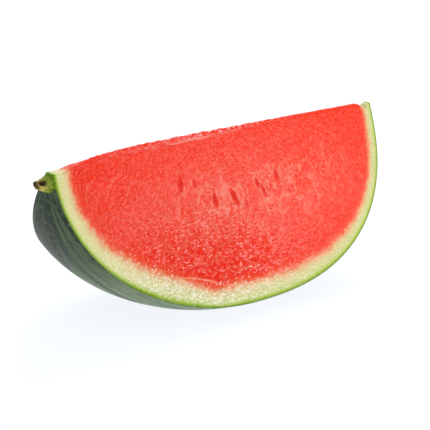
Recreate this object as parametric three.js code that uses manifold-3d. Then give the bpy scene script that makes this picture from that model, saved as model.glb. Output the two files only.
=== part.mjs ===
// A wedge of oval seedless watermelon, about a seventh of the fruit, with its dried stem stub.
// Two lengthwise knife cuts and a narrow bowed crest bound it, and it stands on the curved rind,
// on the slight flat where the fruit lay on the ground.
// Millimetres and degrees. In the fruit's own frame +X runs along the core from the stem to the
// blossom end, +Z points up through the crest, and the cut seen from -Y is the front cut.
import * as THREE from "three";
import { mergeVertices } from "three/addons/utils/BufferGeometryUtils.js";
import Module from "manifold-3d";

// The whole fruit.
const FRUIT_HALF_LENGTH = 156.3;
const FRUIT_RADIUS = 105.8;
const STEM_END_FULLNESS = 2.07; // exponent of the outline; 2 is an ellipse and more is blunter
const BLOSSOM_END_FULLNESS = 2.34;
const END_BLEND = 6; // how quickly the outline turns from one fullness to the other
const BLOSSOM_SWELL = 0.034; // share by which the blossom end is fatter than the middle

// The cuts. Each is a plane along the core, set off from it so that the whole stem stays on.
const CUT_LEAN = 24.6; // of each cut from the upright
const FRONT_CUT_OFFSET = 6;
const BACK_CUT_OFFSET = 5.1;
const CREST_END_HEIGHT = 7.6; // of the crest above the core, at the two rinds
const CREST_RISE = 5; // further rise at mid-length, where the flesh broke off higher
const CREST_FULLNESS = 4; // exponent of the bow; more keeps it high for longer

// The stem stub, a five-ribbed cone that flares where it grew out of the fruit.
const STEM_LENGTH = 10.3;
const STEM_FLARE_RADIUS = 6.4;
const STEM_FLARE_SHARPNESS = 1.7; // exponent of the flare; more keeps the neck thin for longer
const STEM_NECK_RADIUS = 2.4;
const STEM_TIP_RADIUS = 1.8;
const STEM_ROOT_DEPTH = 3; // how far its cone runs into the fruit before the fruit is cut away
const STEM_RIBS = 5;
const STEM_RIB_SHARE = 0.08; // rib height as a share of the radius
const STEM_LIFT = 1.7; // rise of the tip from the core's line
const STEM_GAP = 0.3; // clearance that keeps the two solids apart

// How the wedge settles on a level table: turned about its core, then end over end.
const REST_ROLL = 1.25;
const REST_PITCH = -0.88;
const GROUND_FLAT_DEPTH = 0.5; // how much of the round bottom the flat takes away

// Fineness of the facets.
const OUTLINE_STEPS = 64;
const CREST_STEPS = 32;
const FRUIT_SIDES = 144;
const STEM_STEPS = 14;
const STEM_SIDES = 30;

const wasm = await Module();
wasm.setup();

const radians = THREE.MathUtils.degToRad;

/** The fruit's radius at x along the core, from -1 at the stem pole to 1 at the blossom pole. */
function fruitRadius(x) {
  const blossomShare = 1 / (1 + Math.exp(-END_BLEND * x));
  const fullness = THREE.MathUtils.lerp(STEM_END_FULLNESS, BLOSSOM_END_FULLNESS, blossomShare);
  const round = Math.max(0, 1 - Math.abs(x) ** fullness) ** (1 / fullness);
  return FRUIT_RADIUS * round * (1 + BLOSSOM_SWELL * x);
}

/** A lathed solid about the X axis through [along, radius] points, from low x to high x. */
function turnedAboutX(outline, sides) {
  const points = outline.map(([along, radius]) => new THREE.Vector2(radius, along));
  return new THREE.LatheGeometry(points, sides).rotateZ(-Math.PI / 2);
}

/** The whole fruit, grown by a margin on every side. */
function wholeFruit(margin) {
  const outline = [];
  for (let i = 0; i <= OUTLINE_STEPS; i++) {
    const x = -Math.cos((Math.PI * i) / OUTLINE_STEPS);
    const atPole = i === 0 || i === OUTLINE_STEPS;
    outline.push([x * (FRUIT_HALF_LENGTH + margin), atPole ? 0 : fruitRadius(x) + margin]);
  }
  return turnedAboutX(outline, FRUIT_SIDES);
}

/** The space between the two cuts: a three-sided prism along X. */
function cutPrism() {
  const lean = radians(CUT_LEAN);
  const apexHeight = (FRONT_CUT_OFFSET + BACK_CUT_OFFSET) / (2 * Math.sin(lean));
  const apexAside = (BACK_CUT_OFFSET - FRONT_CUT_OFFSET) / (2 * Math.cos(lean));
  const reach = 2 * FRUIT_RADIUS;
  const section = new THREE.Shape([
    new THREE.Vector2(apexAside, apexHeight),
    new THREE.Vector2(apexAside - reach * Math.sin(lean), apexHeight - reach * Math.cos(lean)),
    new THREE.Vector2(apexAside + reach * Math.sin(lean), apexHeight - reach * Math.cos(lean)),
  ]);
  const length = 3 * FRUIT_HALF_LENGTH;
  const prism = new THREE.ExtrudeGeometry(section, { depth: length, bevelEnabled: false });
  const sectionToFruit = new THREE.Matrix4().makeBasis(
    new THREE.Vector3(0, 1, 0),
    new THREE.Vector3(0, 0, 1),
    new THREE.Vector3(1, 0, 0),
  );
  return prism.translate(0, 0, -length / 2).applyMatrix4(sectionToFruit);
}

/** The space under the bowed crest: its side outline drawn out sideways along Y. */
function crestSlab() {
  const reach = 1.2 * FRUIT_HALF_LENGTH;
  const outline = [new THREE.Vector2(-reach, -reach), new THREE.Vector2(reach, -reach)];
  outline.push(new THREE.Vector2(reach, CREST_END_HEIGHT));
  for (let i = CREST_STEPS; i >= 0; i--) {
    const x = -Math.cos((Math.PI * i) / CREST_STEPS);
    const height = CREST_END_HEIGHT + CREST_RISE * (1 - Math.abs(x) ** CREST_FULLNESS);
    outline.push(new THREE.Vector2(x * FRUIT_HALF_LENGTH, height));
  }
  outline.push(new THREE.Vector2(-reach, CREST_END_HEIGHT));
  const width = 3 * FRUIT_RADIUS;
  const slab = new THREE.ExtrudeGeometry(new THREE.Shape(outline), {
    depth: width,
    bevelEnabled: false,
  });
  return slab.translate(0, 0, -width / 2).rotateX(Math.PI / 2);
}

/** The turn that takes the fruit's own frame to the settled wedge. */
function restTurn() {
  return new THREE.Euler(radians(REST_ROLL), radians(REST_PITCH), 0);
}

/** The space above the ground flat of a solid, level once that solid has settled. */
function aboveGroundFlat(solid) {
  const turn = new THREE.Quaternion().setFromEuler(restTurn());
  const settledShape = geometryOf(solid).applyQuaternion(turn);
  settledShape.computeBoundingBox();
  const flatHeight = settledShape.boundingBox.min.z + GROUND_FLAT_DEPTH;
  const size = 4 * FRUIT_HALF_LENGTH;
  const block = new THREE.BoxGeometry(size, size, size).translate(0, 0, flatHeight + size / 2);
  return solidOf(block.applyQuaternion(turn.invert()));
}

/** The stem stub before the fruit is cut away from its root: flare, neck and tip, ribbed and lifted. */
function stemCone() {
  const root = -FRUIT_HALF_LENGTH + STEM_ROOT_DEPTH;
  const tip = -FRUIT_HALF_LENGTH - STEM_LENGTH;
  const outline = [[tip, 0]];
  for (let i = 0; i <= STEM_STEPS; i++) {
    const along = i / STEM_STEPS; // 0 at the tip and 1 at the root
    const neck = THREE.MathUtils.lerp(STEM_TIP_RADIUS, STEM_NECK_RADIUS, along);
    const flare = (STEM_FLARE_RADIUS - STEM_NECK_RADIUS) * along ** STEM_FLARE_SHARPNESS;
    outline.push([THREE.MathUtils.lerp(tip, root, along), neck + flare]);
  }
  outline.push([root, 0]);
  const cone = turnedAboutX(outline, STEM_SIDES);
  const place = cone.getAttribute("position");
  for (let i = 0; i < place.count; i++) {
    const [x, y, z] = [place.getX(i), place.getY(i), place.getZ(i)];
    const around = Math.atan2(y, z);
    const rib = 1 + STEM_RIB_SHARE * Math.cos(STEM_RIBS * around);
    const outward = THREE.MathUtils.clamp((root - x) / (root - tip), 0, 1);
    place.setXYZ(i, x, y * rib, z * rib + STEM_LIFT * outward ** 2);
  }
  return cone;
}

/** A closed three.js geometry as a solid that can be cut. */
function solidOf(geometry) {
  const bare = geometry.clone();
  bare.deleteAttribute("normal");
  bare.deleteAttribute("uv");
  const merged = mergeVertices(bare, 1e-4);
  return new wasm.Manifold(
    new wasm.Mesh({
      numProp: 3,
      vertProperties: new Float32Array(merged.getAttribute("position").array),
      triVerts: new Uint32Array(merged.index.array),
    }),
  );
}

/** A cut solid back as a three.js geometry. */
function geometryOf(solid) {
  const mesh = solid.getMesh();
  const geometry = new THREE.BufferGeometry();
  geometry.setAttribute("position", new THREE.BufferAttribute(mesh.vertProperties, 3));
  geometry.setIndex(new THREE.BufferAttribute(mesh.triVerts, 1));
  geometry.computeVertexNormals();
  return geometry;
}

function namedMesh(name, solid, colour, roughness) {
  const material = new THREE.MeshStandardMaterial({ color: colour, roughness, metalness: 0 });
  const mesh = new THREE.Mesh(geometryOf(solid), material);
  mesh.name = name;
  return mesh;
}

const betweenCuts = solidOf(cutPrism());
const roundWedge = solidOf(wholeFruit(0)).intersect(betweenCuts).intersect(solidOf(crestSlab()));
const wedge = roundWedge.intersect(aboveGroundFlat(roundWedge));
const stem = solidOf(stemCone()).intersect(betweenCuts).subtract(solidOf(wholeFruit(STEM_GAP)));

const settled = new THREE.Group();
settled.rotation.copy(restTurn());
settled.add(namedMesh("watermelon_wedge", wedge, 0xee4a30, 0.35));
settled.add(namedMesh("stem_stub", stem, 0x6f6a35, 0.8));

// The origin goes on the table, under the middle of the whole object's box.
const object = new THREE.Group();
object.add(settled);
object.updateMatrixWorld(true);
const box = new THREE.Box3().setFromObject(object, true);
const middle = box.getCenter(new THREE.Vector3());
settled.position.set(-middle.x, -middle.y, -box.min.z);

export default object;
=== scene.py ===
"""A wedge of seedless watermelon standing on its rind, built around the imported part."""

import logging
import math
from dataclasses import dataclass, field
from enum import Enum

import bpy
import numpy as np
from mathutils import Matrix, Vector


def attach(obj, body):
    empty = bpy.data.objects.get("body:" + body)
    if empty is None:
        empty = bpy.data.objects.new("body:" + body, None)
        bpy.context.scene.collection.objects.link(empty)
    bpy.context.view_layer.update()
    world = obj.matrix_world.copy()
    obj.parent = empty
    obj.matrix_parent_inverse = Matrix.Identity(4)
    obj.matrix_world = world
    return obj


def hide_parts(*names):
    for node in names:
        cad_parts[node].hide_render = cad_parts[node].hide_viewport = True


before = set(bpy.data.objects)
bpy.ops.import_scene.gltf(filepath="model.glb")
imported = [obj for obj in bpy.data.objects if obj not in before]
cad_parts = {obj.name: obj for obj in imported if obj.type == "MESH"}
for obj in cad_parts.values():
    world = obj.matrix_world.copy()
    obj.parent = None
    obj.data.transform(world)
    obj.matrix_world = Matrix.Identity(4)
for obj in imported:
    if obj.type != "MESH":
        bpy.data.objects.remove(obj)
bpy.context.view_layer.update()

LOG = logging.getLogger("watermelon")
MM = 0.001  # metres in a millimetre
Array = np.ndarray
Object = bpy.types.Object
Tree = bpy.types.NodeTree


# ---------------------------------------------------------------- helpers


def linear(code: str) -> tuple[float, float, float, float]:
    """Turn an sRGB hex colour into the linear colour that a shader takes.

    Args:
        code: Six hex digits, such as "e8402a".

    Returns:
        Red, green, blue and an alpha of one.
    """
    shares = [int(code[i : i + 2], 16) / 255 for i in (0, 2, 4)]
    curve = [s / 12.92 if s <= 0.04045 else ((s + 0.055) / 1.055) ** 2.4 for s in shares]
    return (*curve, 1.0)


def smooth_step(low: float, high: float, value: Array) -> Array:
    """Rise smoothly from 0 at low to 1 at high, with level ends.

    Args:
        low: Value at which the rise starts.
        high: Value at which it ends; it may be under low for a fall.
        value: Where to read the curve.

    Returns:
        Shares from 0 to 1.
    """
    share = np.clip((value - low) / (high - low), 0.0, 1.0)
    return share * share * (3.0 - 2.0 * share)


def hill(value: Array, middle: float, width: float) -> Array:
    """Return a hill: e to the minus square of the way from its middle, counted in widths."""
    return np.exp(-(((value - middle) / width) ** 2))


def add_node(
    tree: Tree,
    kind: str,
    settings: dict[str, object] | None = None,
    inputs: dict[str | int, object] | None = None,
) -> bpy.types.Node:
    """Add one shader node, with its settings, values and incoming links.

    Args:
        tree: The node tree that gets it.
        kind: The node's type name, without its "ShaderNode" start.
        settings: Properties of the node itself.
        inputs: Socket name or number to a value, to the output socket that feeds it, or to
            the node whose first output does.

    Returns:
        The new node.
    """
    made = tree.nodes.new("ShaderNode" + kind)
    for name, value in (settings or {}).items():
        setattr(made, name, value)
    for key, value in (inputs or {}).items():
        if isinstance(value, bpy.types.Node):
            value = value.outputs[0]
        if isinstance(value, bpy.types.NodeSocket):
            tree.links.new(value, made.inputs[key])
        else:
            made.inputs[key].default_value = value
    return made


def new_material(name: str) -> tuple[bpy.types.Material, Tree]:
    """Start a material and return it with its empty node tree."""
    material = bpy.data.materials.new(name)
    material.use_nodes = True
    material.node_tree.nodes.clear()
    return material, material.node_tree


def add_shader(tree: Tree, inputs: dict[str, object]) -> None:
    """End a material with its Principled shader, which takes these inputs, and its output."""
    shader = add_node(tree, "BsdfPrincipled", inputs=inputs)
    add_node(tree, "OutputMaterial", inputs={"Surface": shader})


def mesh_object(
    name: str, points: Array, faces: Array, finish_numbers: Array | None = None
) -> Object:
    """Make an object at the origin from whole arrays of points and triangles.

    Args:
        name: The piece's name.
        points: One row of metres for each point, in the part's frame.
        faces: One row of three point numbers for each triangle, anticlockwise from outside.
        finish_numbers: Material number of each triangle.

    Returns:
        The linked object, shaded smooth except across sharp edges.
    """
    mesh = bpy.data.meshes.new(name)
    mesh.vertices.add(len(points))
    mesh.vertices.foreach_set("co", points.astype(np.float32).ravel())
    mesh.loops.add(faces.size)
    mesh.loops.foreach_set("vertex_index", faces.astype(np.int32).ravel())
    mesh.polygons.add(len(faces))
    mesh.polygons.foreach_set("loop_start", np.arange(0, faces.size, 3, dtype=np.int32))
    if finish_numbers is not None:
        mesh.polygons.foreach_set("material_index", finish_numbers.astype(np.int32))
    mesh.update(calc_edges=True)
    mesh.validate()
    made = bpy.data.objects.new(name, mesh)
    bpy.context.scene.collection.objects.link(made)
    return made


def tube_faces(rings: int, around: int) -> Array:
    """Join rings of points into a closed tube of triangles that face out.

    Ring i holds points i * around to (i + 1) * around - 1, and the two poles come after the
    last ring. Seen from the last ring the points run anticlockwise. Every four neighbours give
    two triangles, and each pole gives a fan.

    Args:
        rings: Number of rings.
        around: Points in each.

    Returns:
        Triangles: two for each point of every ring but the last, in ring order, then the fans.
    """
    i, j = np.meshgrid(np.arange(rings - 1), np.arange(around), indexing="ij")
    here, beside = i * around + j, i * around + (j + 1) % around
    pairs = np.stack([here, beside, beside + around, here, beside + around, here + around], -1)
    order, last = np.arange(around), (rings - 1) * around
    after, pole = (order + 1) % around, np.full(around, rings * around)
    fans = [np.stack([pole, after, order], -1), np.stack([pole + 1, order + last, after + last], -1)]
    return np.concatenate([pairs.reshape(-1, 3), *fans])


def with_poles(values: Array) -> Array:
    """List the values of all rings, then the first and the last value again for the poles."""
    flat = values.reshape(-1, *values.shape[2:])
    return np.concatenate([flat, flat[[0, -1]]])


def add_reading(made: Object, name: str, values: Array) -> None:
    """Store one number or one vector for each point, for the materials to read.

    Args:
        made: The piece.
        name: The attribute's name.
        values: One number for each point, or one row of three.
    """
    is_vector = values.ndim == 2
    kind = "FLOAT_VECTOR" if is_vector else "FLOAT"
    stored = made.data.attributes.new(name, kind, "POINT")
    stored.data.foreach_set("vector" if is_vector else "value", values.astype(np.float32).ravel())


class SpaceNoise:
    """Smooth random bumps in space, the same on every run.

    Each corner of a whole-number lattice has its own random direction. A point's value is the
    blend of its eight corners' directions, each multiplied by the way from that corner.
    """

    def __init__(self, seed: int) -> None:
        """Draw the lattice directions.

        Args:
            seed: Which of the many such noises this one is.
        """
        draw = np.random.default_rng(seed)
        self._order = draw.permutation(256)
        ways = draw.normal(size=(256, 3))
        self._ways = ways / np.linalg.norm(ways, axis=1, keepdims=True)

    def at(self, points: Array) -> Array:
        """Read the noise.

        Args:
            points: Rows of three, in units of one bump.

        Returns:
            Values mostly between -1 and 1.
        """
        cell = np.floor(points).astype(np.int64)
        part = points - cell
        fade = part**3 * (part * (part * 6.0 - 15.0) + 10.0)
        total = np.zeros(points.shape[:-1])
        for corner in np.ndindex(2, 2, 2):
            key = np.zeros(points.shape[:-1], dtype=np.int64)
            weight = np.ones(points.shape[:-1])
            for axis in range(3):
                key = self._order[(key + cell[..., axis] + corner[axis]) & 255]
                side = fade[..., axis]
                weight = weight * (side if corner[axis] else 1.0 - side)
            slope = (self._ways[key] * (part - np.array(corner))).sum(axis=-1)
            total += weight * slope
        return total * 1.6


# ---------------------------------------------------------------- the fruit


class Side(Enum):
    """Which of the two knife cuts, by the way it faces across the fruit."""

    FRONT = -1
    BACK = 1


@dataclass(frozen=True)
class RestPose:
    """How the fruit's own frame stands in the part's frame.

    The fruit's frame has X along the core to the blossom end and Z up through the crest.
    """

    roll_deg: float = 1.25
    pitch_deg: float = -0.88
    place_mm: tuple[float, float, float] = (5.177, -1.647, 105.263)  # the middle of the core

    def turn(self) -> Array:
        """Return the turn from the fruit's frame to the part's: pitch first, then roll."""
        pitch = Matrix.Rotation(math.radians(self.pitch_deg), 3, "Y")
        roll = Matrix.Rotation(math.radians(self.roll_deg), 3, "X")
        return np.array(roll @ pitch)

    def settle(self, points_mm: Array) -> Array:
        """Take millimetres in the fruit's frame to metres in the part's frame."""
        return (points_mm @ self.turn().T + np.array(self.place_mm)) * MM


@dataclass(frozen=True)
class FruitShape:
    """The whole oval fruit that the wedge was cut from."""

    half_length: float = 156.3
    radius: float = 105.8
    stem_fullness: float = 2.07  # 2 is an ellipse, and more is blunter
    blossom_fullness: float = 2.34
    end_blend: float = 6.0
    blossom_swell: float = 0.034

    def radius_at(self, along: Array) -> Array:
        """Find the fruit's radius along the core.

        An ellipse whose exponent changes from the stem end's to the blossom end's, times a
        slight swell towards the blossom end.

        Args:
            along: Millimetres from the middle, towards the blossom end.

        Returns:
            Radii in millimetres.
        """
        share = np.clip(along / self.half_length, -1.0, 1.0)
        blend = 1.0 / (1.0 + np.exp(-self.end_blend * share))
        fullness = self.stem_fullness + (self.blossom_fullness - self.stem_fullness) * blend
        round_share = np.clip(1.0 - np.abs(share) ** fullness, 0.0, None) ** (1.0 / fullness)
        return self.radius * round_share * (1.0 + self.blossom_swell * share)

    def along_at(self, radius: Array, end: int) -> Array:
        """Find where near one pole, -1 or 1, the outline has a small radius."""
        near_pole = end * self.half_length * (1.0 - np.linspace(0.2, 0.0, 6000) ** 2)
        return np.interp(radius, self.radius_at(near_pole)[::-1], near_pole[::-1])

    def outline(self, steps: int) -> tuple[Array, Array]:
        """Return the along and radius values of the outline, close together at the poles."""
        along = -self.half_length * np.cos(np.linspace(0.0, math.pi, steps))
        return along, self.radius_at(along)

    def stations(self, count: int, cap_radius: float, fine_half_length: float) -> Array:
        """Choose where the wedge's sections stand along the core.

        They stand at even steps of the outline's own length, and half as close again around
        the middle, where the seed pits are.

        Args:
            count: Number of sections.
            cap_radius: Radius of the first and the last one, in millimetres.
            fine_half_length: How far from the middle the closer ones reach.

        Returns:
            Millimetres along the core, rising.
        """
        along, radius = self.outline(20001)
        closeness = 1.0 + 0.5 * hill(along, 0.0, fine_half_length)
        step = np.hypot(np.diff(along), np.diff(radius))
        travel = np.concatenate([[0.0], np.cumsum(step * closeness[1:])])
        ends = [float(self.along_at(np.array(cap_radius), end)) for end in (-1, 1)]
        low, high = np.interp(ends, along, travel)
        return np.interp(np.linspace(low, high, count), travel, along)

    def depth_below_skin(self, along: Array, out: Array) -> Array:
        """Measure how deep points lie under the skin.

        The least distance to the outline, in the plane through the core and the point.

        Args:
            along: Millimetres along the core.
            out: Millimetres out from the core.

        Returns:
            Depths in millimetres.
        """
        skin_along, skin_radius = self.outline(700)
        depth = np.full(along.shape, 1e9)
        for x, r in zip(skin_along, skin_radius):
            np.minimum(depth, (along - x) ** 2 + (out - r) ** 2, out=depth)
        return np.sqrt(depth)


@dataclass(frozen=True)
class SeedPit:
    """A tear-shaped dent that an empty seed left in a cut face, in millimetres."""

    along: float
    down: float
    length: float = 7.0
    width: float = 3.2
    depth: float = 1.3
    lean: float = 0.0  # sideways travel for each millimetre down

    def inside(self, along: Array, down: Array) -> Array:
        """Tell how far inside the tear points lie.

        One less the distance from the middle, with the width drawn in towards the top.

        Args:
            along: Millimetres along the core.
            down: Millimetres down the cut.

        Returns:
            One at the middle, 0 on the rim and negative outside.
        """
        drop = down - self.down
        across = along - self.along - self.lean * drop
        half_width = 0.5 * self.width * (0.75 + 0.5 * np.clip(drop / self.length, -0.7, 0.5))
        return 1.0 - np.hypot(across / half_width, drop / (0.5 * self.length))


@dataclass(frozen=True)
class Vein:
    """A thin pale thread in a cut face: a bow between two points, in millimetres."""

    start: tuple[float, float]
    end: tuple[float, float]
    bow: float = 0.0  # how far the middle stands aside from the straight line
    half_width: float = 0.35

    def distance(self, along: Array, down: Array) -> Array:
        """Measure how far points lie outside the thread.

        Along the chord the thread is a parabola; past its ends the distance grows with the way
        from the end.

        Args:
            along: Millimetres along the core.
            down: Millimetres down the cut.

        Returns:
            Millimetres from the thread's edge, negative on it.
        """
        chord = np.subtract(self.end, self.start)
        length = float(np.hypot(*chord))
        way, side = chord / length, np.array([-chord[1], chord[0]]) / length
        x, y = along - self.start[0], down - self.start[1]
        run = x * way[0] + y * way[1]
        share = np.clip(run / length, 0.0, 1.0)
        aside = x * side[0] + y * side[1] - self.bow * 4.0 * share * (1.0 - share)
        beyond = np.clip(np.maximum(-run, run - length), 0.0, None)
        return np.hypot(aside, beyond) - self.half_width * (0.5 + 2.0 * share * (1.0 - share))


FRONT_PITS = (
    SeedPit(-50.5, 18.5, 11.0, 5.4, 1.5, -0.12),
    SeedPit(-37.7, 19.5, 6.5, 3.6, 0.9, -0.05),
    SeedPit(-21.6, 33.8, 12.0, 5.0, 1.8, 0.00),
    SeedPit(-3.4, 34.2, 13.0, 5.2, 1.8, 0.30),
    SeedPit(7.2, 40.8, 7.5, 3.6, 1.0, 0.25),
    SeedPit(21.5, 29.0, 7.0, 4.2, 1.2, 0.20),
    SeedPit(26.5, 35.0, 10.0, 4.0, 1.3, 0.30),
    SeedPit(42.1, 26.5, 9.0, 5.0, 1.5, 0.20),
    SeedPit(51.5, 38.0, 6.0, 2.8, 0.5, 0.20),
)
BACK_PITS = (
    SeedPit(-62.0, 31.0, 6.5, 3.0, 1.2, -0.15),
    SeedPit(-41.0, 42.0, 8.0, 3.4, 1.5, -0.05),
    SeedPit(-14.0, 27.0, 5.0, 2.6, 0.9, 0.10),
    SeedPit(4.0, 44.0, 7.5, 3.2, 1.4, 0.00),
    SeedPit(21.0, 33.0, 6.0, 2.8, 1.0, 0.15),
    SeedPit(52.0, 40.0, 8.0, 3.2, 1.5, 0.20),
    SeedPit(71.0, 28.0, 4.5, 2.4, 0.8, 0.25),
)
FRONT_VEINS = (
    Vein((-69.0, 76.0), (-25.0, 91.2), -1.7, 0.55),
    Vein((-22.5, 79.0), (-12.0, 83.6), 1.2, 0.32),
    Vein((-14.0, 84.0), (2.0, 83.0), -1.8, 0.36),
    Vein((-103.0, 3.0), (-117.0, 16.0), 1.0, 0.34),
    Vein((-124.0, 4.0), (-134.0, 15.0), 2.5, 0.34),
    Vein((-92.0, 6.0), (-105.0, 24.0), -1.0, 0.30),
    Vein((22.0, 70.0), (36.0, 68.0), 1.0, 0.28),
    Vein((84.0, 33.0), (80.0, 52.0), 1.5, 0.28),
)
BACK_VEINS = (
    Vein((-80.0, 70.0), (-50.0, 82.0), 2.0, 0.42),
    Vein((15.0, 88.0), (52.0, 82.0), 2.5, 0.42),
    Vein((96.0, 12.0), (112.0, 26.0), 1.5, 0.30),
    Vein((-110.0, 8.0), (-121.0, 22.0), -1.5, 0.30),
)


@dataclass
class WatermelonWedge:
    """The wedge itself: flesh, rind and skin in one closed surface, in millimetres.

    Sections stand across the core, each a closed ring: down the front cut, round the skin, up
    the back cut and over the broken crest. Both ends close over the fruit's poles.
    """

    fruit: FruitShape = field(default_factory=FruitShape)
    pose: RestPose = field(default_factory=RestPose)
    cut_lean_deg: float = 24.6
    cut_offset: dict[Side, float] = field(default_factory=lambda: {Side.FRONT: 6.0, Side.BACK: 5.1})
    crest_edge_height: float = 9.4  # of the front cut's upper edge above the core
    stem_end_drop: float = 2.6  # by which that edge falls at the stem end's rind
    blossom_notch_depth: float = 4.6  # of the nick in that edge where flesh meets rind
    blossom_notch_place: float = 149.0
    blossom_end_drop: float = 0.4
    crest_rise: float = 4.4  # of the broken ridge above that edge
    back_edge_drop: float = 2.6  # of the back cut's edge, where the ridge is highest
    cap_radius: float = 11.0  # sections end here, and the pole caps begin
    rind_depth: float = 15.2  # from the skin to where the flesh turns red
    rind_thinning: float = 2.4  # by which the rind is thinner at the two ends
    blossom_rind_thinning: float = 2.6  # and more towards the blossom end
    # How much, where and how widely the front's rind gives way to red, or the other way round.
    # The pale corner is partly the rind's own width and partly painted highlight where glints fall.
    red_under_strand: tuple[float, float, float] = (2.6, -40.0, 13.0)
    glint_pale_corner: tuple[float, float, float] = (4.2, -85.0, 34.0)
    sections: int = 344
    front_steps: int = 112
    skin_steps: int = 42
    back_steps: int = 92
    crest_steps: int = 18
    cap_steps: int = 6
    grain: SpaceNoise = field(default_factory=lambda: SpaceNoise(11))
    lumps: SpaceNoise = field(default_factory=lambda: SpaceNoise(23))

    def way(self, side: Side) -> tuple[Array, Array]:
        """Return a cut's way down and its way out, as (y, z) pairs."""
        lean = math.radians(self.cut_lean_deg)
        down = np.array([side.value * math.sin(lean), -math.cos(lean)])
        out = np.array([side.value * math.cos(lean), math.sin(lean)])
        return down, out

    def edge_height(self, along: Array, side: Side) -> Array:
        """Find how high each cut's upper edge stands above the core.

        Level along most of the wedge and lower in the two rinds, with a nick where the flesh
        tore away from the blossom end's rind. The back edge is lower where the ridge between
        the edges stands high.

        Args:
            along: Millimetres along the core.
            side: Which cut.

        Returns:
            Heights in millimetres.
        """
        share = along / self.fruit.half_length
        drop = self.stem_end_drop * smooth_step(-0.86, -0.96, share)
        drop = drop + self.blossom_end_drop * smooth_step(0.93, 0.98, share)
        drop = drop + self.blossom_notch_depth * hill(along, self.blossom_notch_place, 3.6)
        height = self.crest_edge_height - drop
        if side is Side.BACK:
            height = height - self.back_edge_drop * self.ridge(along) / self.crest_rise
        return height

    def ridge(self, along: Array) -> Array:
        """Find how far the broken ridge stands above the front cut's upper edge.

        It climbs quickly from the stem end's rind, then sinks slowly to the blossom end.

        Args:
            along: Millimetres along the core.

        Returns:
            Heights in millimetres.
        """
        travel = np.clip(along / self.fruit.half_length + 0.87, 0.0, None)
        climb = 1.0 - np.exp(-travel / 0.19)
        sink = np.clip(1.0 - travel / 1.86, 0.0, 1.0) ** 0.85
        return self.crest_rise * 1.25 * climb * sink

    def cut_face(self, along: Array, side: Side, steps: int) -> Array:
        """Work out one cut face, from its upper edge down to the skin.

        A point on the cut is its way down times q plus its way out times the cut's offset. At
        each section q runs from the upper edge to where the fruit's round ends it.

        Args:
            along: Sections, in millimetres along the core.
            side: Which cut.
            steps: Points in each section.

        Returns:
            Points of every section, with their place down the cut as a fourth number.
        """
        down, out = self.way(side)
        offset = self.cut_offset[side]
        lowest = np.sqrt(self.fruit.radius_at(along) ** 2 - offset**2)
        highest = (offset * out[1] - self.edge_height(along, side)) / -down[1]
        share = np.linspace(0.0, 1.0, steps - 1)
        # One more point just inside the skin keeps the rim of the cut crisp.
        share = np.concatenate([share[:-1], [1.0 - 0.4 / 115.0, 1.0]])
        q = highest[:, None] + (lowest - highest)[:, None] * share
        x = np.broadcast_to(along[:, None], q.shape)
        return np.stack([x, q * down[0] + offset * out[0], q * down[1] + offset * out[1], q], -1)

    def skin_face(self, along: Array, steps: int) -> Array:
        """Work out the skin from the front cut's rim to the back cut's.

        Each section is an arc of the fruit's round about the core.

        Args:
            along: Sections, in millimetres along the core.
            steps: Points in each section, the rims left out.

        Returns:
            Points of every section, with the angle from straight down as a fourth number.
        """
        radius = self.fruit.radius_at(along)
        lean = math.radians(self.cut_lean_deg)
        rims = [
            lean + np.arcsin(self.cut_offset[side] / radius) for side in (Side.FRONT, Side.BACK)
        ]
        share = np.linspace(0.0, 1.0, steps)
        share = np.concatenate([[0.004], share[1:-1], [0.996]])
        angle = rims[0][:, None] - (rims[0] + rims[1])[:, None] * share
        x = np.broadcast_to(along[:, None], angle.shape)
        r = radius[:, None]
        return np.stack([x, -r * np.sin(angle), -r * np.cos(angle), angle], -1)

    def crest_face(self, front: Array, back: Array, steps: int) -> Array:
        """Work out the broken crest, from the back cut's upper edge to the front cut's.

        A straight line between the edges plus a round-shouldered ridge, which rises straight
        from the front edge and is highest a little behind the middle.

        Args:
            front: The front cut's upper edge, one row of x, y, z and q for each section.
            back: The back cut's upper edge, likewise.
            steps: Points in each section, the edges left out.

        Returns:
            Points of every section, with the share across from the back as a fourth number.
        """
        share = np.linspace(0.0, 1.0, steps + 2)[1:-1]
        x, ridge = front[:, 0], self.ridge(front[:, 0])[:, None]
        # The ridge is counted from the front edge's height, so it makes up for the lower back.
        bell = 1.0 - np.abs(2.0 * share**0.95 - 1.0) ** 2.2
        y = back[:, 1:2] + (front[:, 1:2] - back[:, 1:2]) * share
        z = back[:, 2:3] + (front[:, 2:3] - back[:, 2:3]) * share
        z = z + bell * ridge * (0.92 + 0.5 * self.back_edge_drop / self.crest_rise)
        x = np.broadcast_to(x[:, None], y.shape)
        return np.stack([x, y, z, np.broadcast_to(share, y.shape)], -1)

    def fibre_map(self, along: Array, down: Array) -> Array:
        """Number the fibres: the way along, over a spread that grows with the way down squared."""
        return along / (1.0 + 0.45 * np.clip(down / self.fruit.radius, 0.0, 1.0) ** 2)

    def wetness(self, along: Array, down: Array) -> Array:
        """Tell how much juice stands on a cut: a pool of it low down towards the stem end."""
        return hill(along, -52.0, 74.0) * hill(down, 84.0, 38.0)

    def rind_thickness(self, x: Array, y: Array, down: Array) -> Array:
        """Find how deep the red starts.

        The rind thins towards both ends with the way along squared. On the front cut a tongue
        of red reaches in under a strand, and the rind is thicker low down near the stem end: partly
        its own width, partly painted highlight where glints fall.

        Args:
            x: Millimetres along the core.
            y: Millimetres across the wedge, negative on the front.
            down: Millimetres down the cut.

        Returns:
            Millimetres under the skin.
        """
        red, *tongue = self.red_under_strand
        pale, *corner = self.glint_pale_corner
        thin = self.rind_depth - self.rind_thinning * (x / self.fruit.half_length) ** 2
        thin = thin - self.blossom_rind_thinning * smooth_step(50.0, 125.0, x)
        thin = thin - red * hill(x, *tongue) * (y < 0.0) * (down > 60.0)
        # Painted highlight, in part: a wider pale band at the front's stem-end corner.
        return thin + pale * hill(x, *corner) * (y < 0.0)

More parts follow.
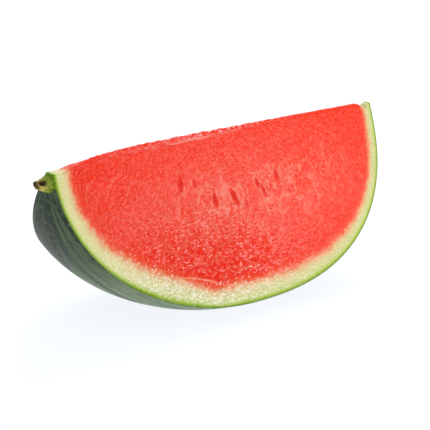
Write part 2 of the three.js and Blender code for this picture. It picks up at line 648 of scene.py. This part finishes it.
    def flesh_relief(
        self, points: Array, depth: Array, side: Side, pits: tuple[SeedPit, ...]
    ) -> Array:
        """Work out how far a cut face stands proud of its flat.

        Cells drawn out along the fibres, finer cells on them, the knife's long waves, and the
        seed pits. The rind is far smoother than the flesh, and the rims stay true.

        Args:
            points: Rows of x, y, z and the way down.
            depth: Millimetres under the skin.
            side: Which cut.
            pits: Its seed pits.

        Returns:
            Millimetres out of the face.
        """
        x, q = points[..., 0], points[..., 3]
        fibre = self.fibre_map(x, q)
        apart = np.full(x.shape, 7.3 * side.value)
        cells = self.grain.at(np.stack([fibre / 2.1, q / 3.4, apart], -1))
        fine = self.grain.at(np.stack([fibre / 1.15, q / 1.9, apart + 3.1], -1))
        waves = self.lumps.at(np.stack([x / 26.0, q / 17.0, apart], -1))
        flesh = smooth_step(0.55, 1.15, depth / self.rind_depth)
        roughness = 0.16 + 0.84 * flesh
        wet = 1.0 + 0.35 * self.wetness(x, q)
        height = roughness * wet * (0.12 * cells + 0.09 * fine) + 0.22 * waves
        for pit in pits:
            inside = pit.inside(x, q)
            height = height - 0.4 * pit.depth * smooth_step(-0.45, 0.95, inside)
            height = height + 0.08 * hill(inside, -0.48, 0.30)  # its raised rim
        below_edge = q - q[:, :1]
        return height * smooth_step(0.0, 1.6, depth) * smooth_step(0.0, 1.2, below_edge)

    def build(self) -> Object:
        """Build the closed surface and the readings that its materials take.

        Returns:
            The wedge, with material 0 on the cut flesh and 1 on the skin.
        """
        along = self.fruit.stations(self.sections, self.cap_radius, 70.0)
        front = self.cut_face(along, Side.FRONT, self.front_steps)
        back = self.cut_face(along, Side.BACK, self.back_steps)
        skin = self.skin_face(along, self.skin_steps)
        crest = self.crest_face(front[:, 0], back[:, 0], self.crest_steps)
        parts = (front, skin, back[:, ::-1], crest)
        rings = np.concatenate(parts, axis=1)
        limits = np.cumsum([0] + [part.shape[1] for part in parts])
        on_front, on_skin, on_back, on_crest = map(slice, limits[:-1], limits[1:])
        x, y, z, fourth = np.moveaxis(rings, -1, 0)
        out = np.hypot(y, z)
        depth = self.fruit.depth_below_skin(x, out)
        depth[:, on_skin] = 0.0

        place = rings[..., :3].copy()
        pit, vein = np.full(x.shape, -1.0), np.full(x.shape, 9.0)
        for side, part, pits, veins in (
            (Side.FRONT, on_front, FRONT_PITS, FRONT_VEINS),
            (Side.BACK, on_back, BACK_PITS, BACK_VEINS),
        ):
            downward = slice(None, None, -side.value)
            face, deep = rings[:, part][:, downward], depth[:, part][:, downward]
            height = self.flesh_relief(face, deep, side, pits)[:, downward]
            place[:, part] += height[..., None] * np.array([0.0, *self.way(side)[1]])
            spot = (x[:, part], fourth[:, part])
            pit[:, part] = np.clip(np.max([p.inside(*spot) for p in pits], axis=0), -1.0, 1.0)
            vein[:, part] = np.clip(np.min([v.distance(*spot) for v in veins], axis=0), -1.0, 9.0)
        outward = np.stack([0.0 * x, y, z], -1) / np.maximum(out, 1.0)[..., None]
        swell = self.skin_swell(place[:, on_skin])
        place[:, on_skin] += swell[..., None] * outward[:, on_skin]
        place[:, on_crest] += self.crest_breaks(place[:, on_crest], fourth[:, on_crest])

        down = -z
        for part in (on_front, on_back):
            down[:, part] = fourth[:, part]
        broken = np.zeros_like(x)
        ridge = self.ridge(x[:, on_crest]) / self.crest_rise
        broken[:, on_crest] = np.sqrt(np.sin(math.pi * fourth[:, on_crest])) * ridge
        share_deep = depth / self.rind_thickness(x, y, down)
        # Painted highlight: a pale line along the front cut's upper edge, and on its neighbours on
        # the crest.
        rim = np.zeros_like(x)
        rim[:, on_front] = smooth_step(0.9, 0.0, fourth[:, on_front] - fourth[:, :1])
        rim[:, on_crest] = smooth_step(0.86, 1.0, fourth[:, on_crest])
        readings = {
            "deep": share_deep,
            "fibre": np.stack([self.fibre_map(x, down), down, np.sign(y) * 40.0], -1),
            "broken": broken,
            # Painted glints: the crest's pale flecks gather in its middle, over the paler torn cell
            # walls.
            "torn_and_glints": broken * (0.35 + 0.65 * hill(x, -5.0, 34.0)),
            "wet": self.wetness(x, down) * (y < 0.0) + 0.5 * (y > 0.0),
            "rim": rim * smooth_step(0.8, 1.6, share_deep) * hill(x, -45.0, 62.0),
            "crest_map": place,
            "heart": hill(down, 36.0, 24.0) * hill(x, 16.0, 90.0),
            "pit": pit,
            "vein": vein,
            "skin_map": np.stack([np.arctan2(-y, -z) * 60.0, x, out], -1),
        }
        points, faces, numbers, readings = self.close_ends(place, readings, limits)
        settled = self.pose.settle(points)
        settled[:, 2] = np.maximum(settled[:, 2], 0.0)  # the flat that it lies on
        made = mesh_object("watermelon_wedge_looks", settled, faces, numbers)
        for name, values in readings.items():
            add_reading(made, name, values)
        made.data.set_sharp_from_angle(angle=math.radians(62.0))
        return made

    def skin_swell(self, place: Array) -> Array:
        """Return the skin's slow swells, in millimetres outwards."""
        slow = self.lumps.at(place / np.array([60.0, 34.0, 34.0]))
        quick = self.lumps.at(place / np.array([24.0, 15.0, 15.0]) + 9.0)
        return 0.30 * slow + 0.10 * quick

    def crest_breaks(self, place: Array, share: Array) -> Array:
        """Work out the ragged breaks of the crest.

        Three sizes of random bumps push the ridge up, down and sideways, and fade out at both
        edges and where there is no ridge.

        Args:
            place: Points of the smooth crest.
            share: Their share of the way across.

        Returns:
            Moves in millimetres.
        """
        amount = np.sin(math.pi * share) ** 0.7 * (
            0.15 + 0.85 * self.ridge(place[..., 0]) / self.crest_rise
        )
        big = self.lumps.at(place / 7.0)
        middle = self.grain.at(place / np.array([2.8, 2.4, 2.4]))
        fine = self.grain.at(place / 1.3 + 5.0)
        up = 0.55 * big + 0.45 * middle + 0.34 * fine
        aside = 0.45 * self.grain.at(place / 2.2 + 31.0) + 0.30 * self.lumps.at(place / 9.0 + 4.0)
        move = np.stack([0.2 * middle, aside, up], -1)
        return move * amount[..., None]

    def close_ends(
        self, place: Array, readings: dict[str, Array], limits: Array
    ) -> tuple[Array, Array, Array, dict[str, Array]]:
        """Close both ends over the fruit's poles and join every ring.

        Past the last section its ring shrinks towards the core in even shares, and each point
        goes to where the fruit's round has that distance from the core.

        Args:
            place: Points of every section.
            readings: Readings of every section's points.
            limits: First ring place of the front cut, the skin, the back cut and the crest.

        Returns:
            All points, all triangles, their material numbers and all readings.
        """
        count, steps = place.shape[1], self.cap_steps
        shares = np.linspace(1.0, 0.0, steps + 1)[:-1, None, None]
        caps: list[Array] = []
        for end, last in ((-1, place[0]), (1, place[-1])):
            flat = shares * last[None, :, 1:]
            x = self.fruit.along_at(np.hypot(flat[..., 0], flat[..., 1]), end)
            caps.append(np.concatenate([x[..., None], flat], -1))
        points = with_poles(np.concatenate([caps[0][::-1], place, caps[1]]))
        points[-2:] = [[end * self.fruit.half_length, 0.0, 0.0] for end in (-1, 1)]

        total = len(place) + 2 * steps
        ring_of = np.repeat(np.arange(total - 1), 2 * count)
        slot_of = np.tile(np.repeat(np.arange(count), 2), total - 1)
        is_skin = (slot_of >= limits[1] - 1) & (slot_of < limits[2])
        in_cap = (ring_of < steps - 1) | (ring_of >= total - steps)
        numbers = np.concatenate([is_skin | in_cap, np.ones(2 * count)])
        full = {
            name: with_poles(np.concatenate([values[:1]] * steps + [values] + [values[-1:]] * steps))
            for name, values in readings.items()
        }
        return points, tube_faces(total, count), numbers, full


@dataclass
class StemStub:
    """The withered stalk on the stem end, in millimetres of the fruit's frame.

    A cone with lengthwise ridges, green at its foot, with a sunken hollow on the front and a
    ragged, lifted tip.
    """

    fruit: FruitShape = field(default_factory=FruitShape)
    pose: RestPose = field(default_factory=RestPose)
    root_depth: float = 1.6  # how far the foot reaches into the skin
    length: float = 11.6
    foot_radius: float = 5.5
    tip_radius: float = 1.25
    lift: float = 1.7
    ridges: int = 7
    hollow_place: float = 6.2
    hollow_depth: float = 3.2
    hollow_angle_deg: float = 42.0  # from straight up, towards the front
    rings: int = 110
    sides: int = 150
    rough: SpaceNoise = field(default_factory=lambda: SpaceNoise(41))

    def radius(self, out: Array) -> Array:
        """Find the stem's radius, before its ridges.

        It narrows from the foot, faster and faster towards the tip, which closes like the end
        of an egg.

        Args:
            out: Millimetres out from the fruit's end.

        Returns:
            Radii in millimetres.
        """
        share = np.clip(out / self.length, 0.0, 1.0)
        radius = self.tip_radius + (self.foot_radius - self.tip_radius) * (1.0 - share) ** 0.85
        return radius * np.sqrt(np.clip((self.length - out) / 1.4, 0.0, 1.0))

    def build(self) -> Object:
        """Build the closed stem.

        A point is its radius round the stem's line, times the ridges, less the hollow and plus
        random roughness that grows towards the tip.

        Returns:
            The stem, with its map and its hollow as readings.
        """
        travel = np.linspace(0.0, 1.0, self.rings)
        out = -self.root_depth + (self.length + self.root_depth) * travel**0.9
        around = np.linspace(0.0, 2.0 * math.pi, self.sides, endpoint=False)
        out, around = np.meshgrid(out, around, indexing="ij")
        share = np.clip(out / self.length, 0.0, 1.0)
        front = math.radians(self.hollow_angle_deg)
        aside = (around - front + math.pi) % (2.0 * math.pi) - math.pi
        hollow = hill(aside, 0.0, 0.95) * hill(out, self.hollow_place, 2.9)
        twist = around + 0.05 * out
        ridge = 1.0 + (0.012 + 0.08 * share) * np.cos(self.ridges * twist)
        base = self.radius(out)
        radius = base * ridge - self.hollow_depth * hollow * np.clip(base / 3.0, 0.0, 1.0)
        spot = np.stack([out, radius * np.cos(around), radius * np.sin(around)], -1)
        roughness = 0.16 + 0.55 * share**2
        radius = radius + roughness * self.rough.at(spot / np.array([2.4, 1.1, 1.1]))
        radius = radius + 0.10 * self.rough.at(spot / np.array([1.2, 0.45, 0.45]) + 17.0)
        radius = np.clip(radius, 0.02, None) * np.clip(base / 0.4, 0.0, 1.0)
        lift = self.lift * share**2 + 0.5 * self.rough.at(spot / 5.0 + 3.0) * share
        x = -self.fruit.half_length - out
        rings = np.stack([x, -radius * np.sin(around), radius * np.cos(around) + lift], -1)[::-1]
        points = with_poles(rings)
        points[-2:] = [rings[0].mean(0), rings[-1].mean(0)]
        faces = tube_faces(self.rings, self.sides)
        made = mesh_object("stem_stub_looks", self.pose.settle(points), faces)
        stem_map = np.stack([around * 3.0, out, 0 * out], -1)
        for name, values in (("stem_map", stem_map), ("hollow", hollow)):
            add_reading(made, name, with_poles(values[::-1]))
        return made


# ---------------------------------------------------------------- finishes


@dataclass(frozen=True)
class Pattern:
    """A random pattern on one of a piece's maps: its blots' size along each axis, in mm."""

    place: str
    size_mm: tuple[float, float, float]
    detail: float = 2.0
    distortion: float = 0.0


@dataclass(frozen=True)
class Tint:
    """A colour laid over part of a finish.

    It starts to show where its source passes one value and shows most past another, and each
    of its masks takes its own share away.
    """

    source: str
    start: float
    full: float
    most: float
    colour: str
    masks: tuple[str, ...] = ()


Sources = dict[str, object]  # the node or socket of each reading, pattern and mask, by name


@dataclass(frozen=True)
class Finish:
    """What the fruit's finishes share: bands of colour, patterns, tints and a relief."""

    refraction: float
    shine: float  # specular level
    relief_mm: float
    relief_share: float  # how much of the relief shows
    bands: tuple[tuple[float, str], ...]
    patterns: tuple[tuple[str, Pattern], ...]
    tints: tuple[Tint, ...]

    def draw_patterns(self, tree: Tree, sources: Sources) -> None:
        """Draw the random patterns.

        Args:
            tree: The node tree.
            sources: It holds the maps and gets the patterns.
        """
        for name, pattern in self.patterns:
            stretch = {"Scale": tuple(1.0 / size for size in pattern.size_mm)}
            drawn = add_node(tree, "Mapping", inputs={"Vector": sources[pattern.place], **stretch})
            look = {"Scale": 1.0, "Detail": pattern.detail, "Distortion": pattern.distortion}
            sources[name] = add_node(tree, "TexNoise", inputs={"Vector": drawn, **look})

    def dress(
        self, tree: Tree, sources: Sources, guide: object, height: object, more: dict[str, object]
    ) -> None:
        """Add the shader with its colour, its relief and its refraction.

        The guide picks a colour from the bands, and the tints lie over it one after another.

        Args:
            tree: The node tree.
            sources: Everything that the tints and their masks read.
            guide: What the bands follow.
            height: What the relief follows.
            more: The shader's other inputs.
        """
        ramp = add_node(tree, "ValToRGB", inputs={"Fac": guide})
        stops = ramp.color_ramp.elements
        stops.remove(stops[-1])
        stops[0].position, stops[0].color = self.bands[0][0], linear(self.bands[0][1])
        for place, code in self.bands[1:]:
            stops.new(place).color = linear(code)
        colour = ramp.outputs["Color"]
        for tint in self.tints:
            reach = {"From Min": tint.start, "From Max": tint.full, "To Max": tint.most}
            rise = {"interpolation_type": "SMOOTHSTEP"}
            share = add_node(tree, "MapRange", rise, {"Value": sources[tint.source], **reach})
            for mask in tint.masks:
                both = {0: share, 1: sources[mask]}
                share = add_node(tree, "Math", {"operation": "MULTIPLY"}, both)
            layers = {0: share, 6: colour, 7: linear(tint.colour)}
            colour = add_node(tree, "Mix", {"data_type": "RGBA"}, layers).outputs[2]
        relief = {"Strength": self.relief_share, "Distance": self.relief_mm * MM, "Height": height}
        look = {"Base Color": colour, "Normal": add_node(tree, "Bump", inputs=relief)}
        look.update({"IOR": self.refraction, "Specular IOR Level": self.shine})
        add_shader(tree, {**look, **more})


@dataclass(frozen=True)
class MoistFlesh(Finish):
    """Freshly cut watermelon flesh and rind: wet, grainy and a little see-through.

    Light goes a little way into the red, so that it glows, and the juice that stands on its
    cells gives small hard glints low down towards the stem end. There pale tints add painted
    glints and highlights, and deep red adds painted shade between the cells.
    """

    refraction: float = 1.35  # sugary juice
    shine: float = 0.25
    ramp_end: float = 3.0  # rind depths that the bands reach
    bubble_size: tuple[float, float, float] = (2.3, 1.5, 9.0)  # mm, of the swollen juicy cells
    swelling: tuple[float, float] = (0.75, 3.0)  # of those cells, dry and in the juice
    dull: tuple[float, float] = (0.34, 0.12)  # roughness of the flesh, likewise
    rind_dull: float = 0.24
    relief_mm: float = 0.30
    relief_share: float = 1.0
    bands: tuple[tuple[float, str], ...] = (
        (0.000, "3c5410"),
        (0.010, "64860f"),
        (0.026, "84a60c"),
        (0.048, "a9c036"),
        (0.085, "c9cd7c"),
        (0.150, "d4cf8c"),
        (0.205, "dbc688"),
        (0.245, "e6b278"),
        (0.285, "ec9160"),
        (0.330, "f26a42"),
        (0.380, "f64a20"),
        (0.440, "f8360e"),
        (0.520, "f92e04"),
        (1.000, "fa3006"),
    )
    patterns: tuple[tuple[str, Pattern], ...] = (
        ("cells", Pattern("fibre", (1.25, 2.2, 9.0))),
        ("fine", Pattern("fibre", (0.9, 1.0, 9.0), 1.0)),
        ("grains", Pattern("fibre", (1.3, 0.9, 9.0))),
        ("clumps", Pattern("fibre", (6.0, 5.0, 30.0), 3.0)),
        ("patches", Pattern("fibre", (17.0, 12.0, 30.0), 3.0)),
        ("veil", Pattern("fibre", (8.0, 9.0, 30.0), 5.0, 1.4)),
        ("shreds", Pattern("crest_map", (3.0, 1.2, 1.2), 3.0, 0.5)),
    )
    tints: tuple[Tint, ...] = (
        Tint("grains", 0.50, 0.72, 0.55, "efe6b4", ("in_rind", "inner")),  # cream grains
        Tint("grains", 0.50, 0.30, 0.45, "b9bd68", ("in_rind", "inner")),  # in greener ones
        # painted light: the rind paler towards the stem end
        Tint("along", -40.0, -105.0, 0.40, "f2e8a8", ("in_rind", "inner")),
        # painted glints: pale sparkles on the rind where the juice pools
        Tint("grains", 0.44, 0.64, 0.80, "fdf6e0", ("in_rind", "inner", "pool")),
        Tint("heart", 0.10, 0.90, 0.75, "f04820", ("in_flesh", "mealy_and_sheen")),  # the mealy heart
        Tint("down", 22.0, 6.0, 0.60, "fe3206", ("in_flesh",)),  # redder under the crest
        Tint("deep", 2.3, 1.5, 0.55, "f22a00", ("in_flesh",)),  # and next to the rind
        Tint("clumps", 0.52, 0.36, 0.70, "fc2e04", ("in_flesh",)),
        Tint("clumps", 0.56, 0.70, 0.30, "fa421a", ("in_flesh",)),
        Tint("cells", 0.52, 0.36, 0.85, "f41c00", ("in_flesh",)),  # red juice
        Tint("cells", 0.55, 0.68, 0.40, "ff4a14", ("in_flesh",)),  # between pale cell walls
        Tint("fine", 0.60, 0.74, 0.30, "ff7040", ("in_flesh",)),
        Tint("veil", 0.44, 0.66, 0.80, "f88c70", ("in_flesh", "heart")),  # a pale haze: mealy flesh, and painted sheen
        # pale flecks in the heart: mealy flesh, and painted sheen
        Tint("fine", 0.54, 0.66, 0.50, "ffa68e", ("in_flesh", "heart", "mealy_and_sheen")),
        Tint("cells", 0.50, 0.38, 0.60, "fa3a14", ("in_flesh", "heart")),
        # painted shade: deep red towards the swollen cells' edges, in the dips between them
        Tint("walls", 0.22, 0.62, 0.90, "ee1800", ("in_flesh", "pool")),
        # painted highlight: paler tops of the swollen cells
        Tint("walls", 0.26, 0.06, 0.40, "ff6236", ("in_flesh", "pool")),
        # painted glints: some whole cells pale pink
        Tint("shade", 0.50, 0.74, 0.42, "ff8264", ("in_flesh", "pool")),
        # painted highlight: a pale ring round each seed pit, on its raised rim
        Tint("pit", -0.98, -0.55, 0.50, "fa8a6e", ("patchy",)),
        Tint("pit", -0.50, 0.30, 0.95, "f22200"),
        # painted shade: darker red deep in each pit's dent
        Tint("pit", 0.20, 0.90, 0.60, "cc1000"),
        Tint("vein", 0.30, -0.15, 0.50, "f8b890"),
        Tint("shreds", 0.50, 0.59, 1.00, "fcd6ce", ("torn_and_glints",)),  # torn cell walls, paler, with painted glints on them
        Tint("shreds", 0.48, 0.36, 0.70, "ec2a04", ("broken",)),
        # painted highlight: a pale line along the front cut's upper edge
        Tint("rim", 0.20, 1.00, 0.60, "ffb8a4", ("patchy",)),
    )

    def make(self) -> bpy.types.Material:
        """Build the material.

        Returns:
            The material of the cut faces and the crest.
        """
        material, tree = new_material("moist_watermelon_flesh")
        sources: Sources = {}
        for name in ("deep", "heart", "wet", "pit", "vein", "broken", "torn_and_glints", "rim"):
            sources[name] = add_node(tree, "Attribute", {"attribute_name": name}).outputs["Fac"]
        for name in ("fibre", "crest_map"):
            sources[name] = add_node(tree, "Attribute", {"attribute_name": name}).outputs["Vector"]
        self.draw_patterns(tree, sources)
        split = add_node(tree, "SeparateXYZ", inputs={"Vector": sources["fibre"]}).outputs
        sources.update(along=split["X"], down=split["Y"])
        scale = tuple(1.0 / size for size in self.bubble_size)
        drawn = add_node(tree, "Mapping", inputs={"Vector": sources["fibre"], "Scale": scale})
        bubbles = add_node(tree, "TexVoronoi", inputs={"Vector": drawn, "Scale": 1.0}).outputs
        # The cells' random colour also picks which of them get painted glints.
        sources.update(walls=bubbles["Distance"], shade=bubbles["Color"])
        # Each swollen cell is tilted its own way, so that a few of them face the light.
        less, times = {"operation": "SUBTRACT"}, {"operation": "MULTIPLY"}
        way = add_node(tree, "VectorMath", less, {0: drawn, 1: bubbles["Position"]})
        tilt = add_node(tree, "VectorMath", less, {0: bubbles["Color"], 1: (0.5, 0.5, 0.5)})
        facets = add_node(tree, "VectorMath", {"operation": "DOT_PRODUCT"}, {0: way, 1: tilt})

        # The red starts at a ragged depth, which cells, clumps and patches carry out and in.
        # Next to the skin the bands follow it closely.
        times_plus = {"operation": "MULTIPLY_ADD"}
        ragged: object = -0.50
        for name, weight in (("cells", 0.40), ("clumps", 0.30), ("patches", 0.30)):
            terms = {0: sources[name], 1: weight, 2: ragged}
            ragged = add_node(tree, "Math", times_plus, terms)
        reach = {"From Min": 0.15, "From Max": 0.95}
        inwards = add_node(tree, "MapRange", inputs={"Value": sources["deep"], **reach})
        terms = {0: ragged, 1: inwards, 2: sources["deep"]}
        sources["depth"] = add_node(tree, "Math", times_plus, terms)
        for name, source, start, full in (
            ("band", "depth", 0.0, self.ramp_end),
            ("in_flesh", "depth", 0.95, 1.40),
            ("in_rind", "depth", 1.00, 0.55),
            ("inner", "deep", 0.10, 0.26),
            ("in_pulp", "depth", 0.60, 1.10),
            ("mealy_and_sheen", "patches", 0.34, 0.62),
            # The juice pool lowers the roughness, swells the cells and masks the painted glints.
            ("pool", "wet", 0.0, 0.80),
            ("patchy", "clumps", 0.42, 0.60),
        ):
            reach = {"From Min": start, "From Max": full}
            sources[name] = add_node(tree, "MapRange", inputs={"Value": sources[source], **reach})

        # Swollen cells stand out of the flesh, and the rind has a finer, lower grain.
        reach = {"To Min": self.swelling[0], "To Max": self.swelling[1]}
        swollen = add_node(tree, "MapRange", inputs={"Value": sources["pool"], **reach})
        tilts = {0: facets.outputs["Value"], 1: swollen}
        pulp: object = add_node(tree, "Math", times, tilts)
        rind = add_node(tree, "Math", times_plus, {0: pulp, 1: 0.40, 2: sources["grains"]})
        for name, weight in (("walls", -0.30), ("cells", 0.60), ("fine", 0.25)):
            pulp = add_node(tree, "Math", times_plus, {0: sources[name], 1: weight, 2: pulp})
        height = add_node(tree, "Mix", inputs={0: sources["in_pulp"], 2: rind, 3: pulp})
        reach = {"To Min": self.dull[0], "To Max": self.dull[1]}
        film = add_node(tree, "MapRange", inputs={"Value": sources["pool"], **reach})
        dull = add_node(tree, "Mix", inputs={0: sources["in_pulp"], 2: self.rind_dull, 3: film})
        glow = {"Subsurface Weight": 0.08, "Subsurface Radius": (1.0, 0.28, 0.16)}
        more = {"Roughness": dull, "Subsurface Scale": 1.2 * MM, **glow}
        self.dress(tree, sources, sources["band"], height, more)
        return material


@dataclass(frozen=True)
class WaxySkin(Finish):
    """The uncut skin: hard, dark green, with lengthwise streaks under a thin wax bloom.

    The bloom gives a soft, slightly blue shine; the streaks meet at both ends of the fruit.
    """

    refraction: float = 1.42  # plant wax
    shine: float = 0.27
    relief_mm: float = 0.16
    relief_share: float = 0.4
    bands: tuple[tuple[float, str], ...] = (
        (0.34, "0a1412"),
        (0.44, "1c2e26"),
        (0.50, "42573f"),
        (0.57, "6a815c"),
        (0.70, "7a8e68"),
    )
    patterns: tuple[tuple[str, Pattern], ...] = (
        ("bands", Pattern("skin_map", (11.0, 110.0, 400.0), 2.0, 0.5)),
        ("threads", Pattern("skin_map", (3.0, 40.0, 400.0), 3.0, 0.9)),
        ("mottle", Pattern("spot", (9.0, 3.2, 3.2), 4.0, 0.6)),
        ("grain", Pattern("spot", (1.3, 1.1, 1.1))),
    )
    tints: tuple[Tint, ...] = (
        Tint("threads", 0.50, 0.38, 0.50, "0c1815"),
        Tint("mottle", 0.49, 0.64, 0.65, "72865c"),
        Tint("mottle", 0.48, 0.34, 0.60, "101c18"),
        Tint("grain", 0.54, 0.72, 0.35, "7c8c70"),
        Tint("along", -100.0, -140.0, 0.60, "1c2a18"),  # painted shade: darker skin round the stem end
        Tint("out", 9.0, 6.5, 0.95, "6c9606", ("stem_end",)),
        Tint("out", 5.0, 3.4, 1.00, "7a6a48", ("blossom_end",)),  # the dry scar of the flower
    )

    def make(self) -> bpy.types.Material:
        """Build the material.

        Returns:
            The material of the skin.
        """
        material, tree = new_material("waxy_watermelon_skin")
        around = add_node(tree, "Attribute", {"attribute_name": "skin_map"}).outputs["Vector"]
        inside = {"Vector": add_node(tree, "TexCoord").outputs["Object"], "Scale": 1 / MM}
        spot = add_node(tree, "VectorMath", {"operation": "SCALE"}, inside)
        sources: Sources = {"skin_map": around, "spot": spot}
        self.draw_patterns(tree, sources)
        split = add_node(tree, "SeparateXYZ", inputs={"Vector": around}).outputs
        sources.update(along=split["Y"], out=split["Z"])
        for name, full in (("stem_end", -90.0), ("blossom_end", 9.0)):
            reach = {"Value": split["Y"], "From Min": 0.0, "From Max": full}
            sources[name] = add_node(tree, "MapRange", inputs=reach)
        swells = {0: sources["bands"], 1: 1.5, 2: sources["mottle"]}
        height = add_node(tree, "Math", {"operation": "MULTIPLY_ADD"}, swells)
        reach = {"From Min": 0.3, "From Max": 0.7, "To Min": 0.40, "To Max": 0.52}
        bloom = add_node(tree, "MapRange", inputs={"Value": sources["mottle"], **reach})
        self.dress(tree, sources, sources["bands"], height, {"Roughness": bloom})
        return material


@dataclass(frozen=True)
class DriedStem(Finish):
    """The withered stalk: straw-coloured fibre over a green foot, and dark brown in its hollow,
    partly dried bark and partly painted shade.

    Its fibres run lengthwise and stand out like fine cords, and it has no shine.
    """

    refraction: float = 1.45
    shine: float = 0.2
    relief_mm: float = 0.3
    relief_share: float = 0.9
    bands: tuple[tuple[float, str], ...] = (
        (0.00, "4a6a10"),
        (0.20, "7c9420"),
        (0.36, "a0a43c"),
        (0.55, "c4b45a"),
        (0.74, "a89440"),
        (0.88, "5a481a"),
        (1.00, "241806"),
    )
    patterns: tuple[tuple[str, Pattern], ...] = (
        ("fibres", Pattern("stem_map", (0.6, 4.0, 40.0), 3.0, 0.5)),
        ("blots", Pattern("stem_map", (2.2, 2.0, 40.0), 3.0, 0.3)),
    )
    tints: tuple[Tint, ...] = (
        Tint("fibres", 0.48, 0.34, 0.60, "5a5018"),
        Tint("fibres", 0.56, 0.72, 0.45, "ddd08c"),
        Tint("blots", 0.56, 0.70, 0.55, "4c4a16"),
        # painted shade: near-black brown in the hollow, over its dried bark
        Tint("hollow", 0.14, 0.62, 0.97, "301004"),
    )

    def make(self) -> bpy.types.Material:
        """Build the material.

        Returns:
            The material of the stem stub.
        """
        material, tree = new_material("dried_melon_stalk")
        place = add_node(tree, "Attribute", {"attribute_name": "stem_map"}).outputs["Vector"]
        hollow = add_node(tree, "Attribute", {"attribute_name": "hollow"}).outputs["Fac"]
        sources: Sources = {"stem_map": place, "hollow": hollow}
        self.draw_patterns(tree, sources)
        split = add_node(tree, "SeparateXYZ", inputs={"Vector": place}).outputs
        reach = {"Value": split["Y"], "From Min": -1.0, "From Max": 11.6}
        lengthwise = add_node(tree, "MapRange", inputs=reach)
        self.dress(tree, sources, lengthwise, sources["fibres"], {"Roughness": 0.62})
        return material


@dataclass(frozen=True)
class StudioPaper:
    """White background paper lit from behind, which leaves only a faint shadow on it."""

    def make(self) -> bpy.types.Material:
        """Build the material."""
        material, tree = new_material("lit_white_background_paper")
        paper = {"Base Color": (0.16, 0.155, 0.15, 1.0), "Roughness": 0.9, "Specular IOR Level": 0.0}
        lamp = {"Emission Color": linear("f4f7fc"), "Emission Strength": 0.95}
        add_shader(tree, {**paper, **lamp})
        return material


# ---------------------------------------------------------------- studio


@dataclass(frozen=True)
class Softbox:
    """A square soft light: where it stands, what it looks at, its width and its power."""

    name: str
    place: tuple[float, float, float]
    aim: tuple[float, float, float]
    width: float
    power: float

    def build(self) -> None:
        """Add the light to the scene."""
        data = bpy.data.lights.new(self.name, "AREA")
        data.shape, data.size = "SQUARE", self.width
        data.energy = self.power
        made = bpy.data.objects.new(self.name, data)
        made.location = self.place
        made.visible_camera = False
        facing = Vector(self.aim) - Vector(self.place)
        made.rotation_euler = facing.to_track_quat("-Z", "Y").to_euler()
        bpy.context.scene.collection.objects.link(made)


@dataclass
class Studio:
    """The pale floor, the soft lights and the camera, in metres and degrees."""

    floor_half: float = 6.0
    sky_strength: float = 0.95  # of the ceiling
    walls_strength: float = 0.48
    camera_distance: float = 1.32
    camera_azimuth: float = -49.85
    camera_elevation: float = 17.48
    camera_roll: float = 6.23
    camera_aim: tuple[float, float, float] = (-0.0043, -0.0117, 0.0616)
    lens_mm: float = 167.4

    def build(self) -> None:
        """Build the floor, the lights, the world and the camera."""
        half = self.floor_half
        corners = np.array([[-half, -half, 0], [half, -half, 0], [half, half, 0], [-half, half, 0]])
        floor = mesh_object("studio_floor", corners, np.array([[0, 1, 2], [0, 2, 3]]))
        floor.data.materials.append(StudioPaper().make())
        for box in (
            Softbox("back_softbox", (0.60, 0.50, 0.92), (0.0, 0.0, 0.06), 0.6, 6.5),
            Softbox("front_right_softbox", (0.554, -0.551, 0.242), (-0.02, -0.04, 0.05), 0.12, 1.8),
        ):
            box.build()
        self.build_world()
        bpy.context.scene.view_settings.view_transform = "Standard"
        self.build_camera()

    def build_world(self) -> None:
        """Make the room: a bright ceiling and dimmer walls, seen as white behind the floor."""
        world = bpy.data.worlds.new("white_tent")
        world.use_nodes = True
        tree = world.node_tree
        sky = tree.nodes["Background"]
        sky.inputs["Color"].default_value = linear("f6f9ff")
        sight = add_node(tree, "LightPath").outputs["Is Camera Ray"]
        way = add_node(tree, "TexCoord").outputs["Generated"]
        height = add_node(tree, "SeparateXYZ", inputs={"Vector": way}).outputs["Z"]
        reach = {"Value": height, "From Min": 0.10, "From Max": 0.80}
        reach.update({"To Min": self.walls_strength, "To Max": self.sky_strength})
        glow = add_node(tree, "MapRange", inputs=reach)
        strength = add_node(tree, "Mix", inputs={0: sight, 2: glow, 3: 1.0})
        tree.links.new(strength.outputs[0], sky.inputs["Strength"])
        bpy.context.scene.world = world

    def build_camera(self) -> None:
        """Stand the camera on its sphere round the aim point and roll it."""
        stand = Matrix.Translation(self.camera_aim)
        for degrees, axis in (
            (self.camera_azimuth, "Z"),
            (90.0 - self.camera_elevation, "X"),
            (self.camera_roll, "Z"),
        ):
            stand = stand @ Matrix.Rotation(math.radians(degrees), 4, axis)
        data = bpy.data.cameras.new("camera")
        data.lens, data.sensor_width = self.lens_mm, 36.0
        camera = bpy.data.objects.new("camera", data)
        camera.matrix_world = stand @ Matrix.Translation((0.0, 0.0, self.camera_distance))
        bpy.context.scene.collection.objects.link(camera)
        bpy.context.scene.camera = camera


def main() -> None:
    """Build the wedge, its stem and the studio, and report each piece."""
    logging.basicConfig(level=logging.INFO, format="%(name)s: %(message)s")
    wedge = WatermelonWedge().build()
    wedge.data.materials.append(MoistFlesh().make())
    wedge.data.materials.append(WaxySkin().make())
    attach(wedge, "root")
    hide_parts("watermelon_wedge")
    LOG.info("%s: %d triangles", wedge.name, len(wedge.data.polygons))
    stem = StemStub().build()
    stem.data.materials.append(DriedStem().make())
    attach(stem, "root")
    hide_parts("stem_stub")
    LOG.info("%s: %d triangles", stem.name, len(stem.data.polygons))
    Studio().build()


if __name__ == "__main__":
    main()
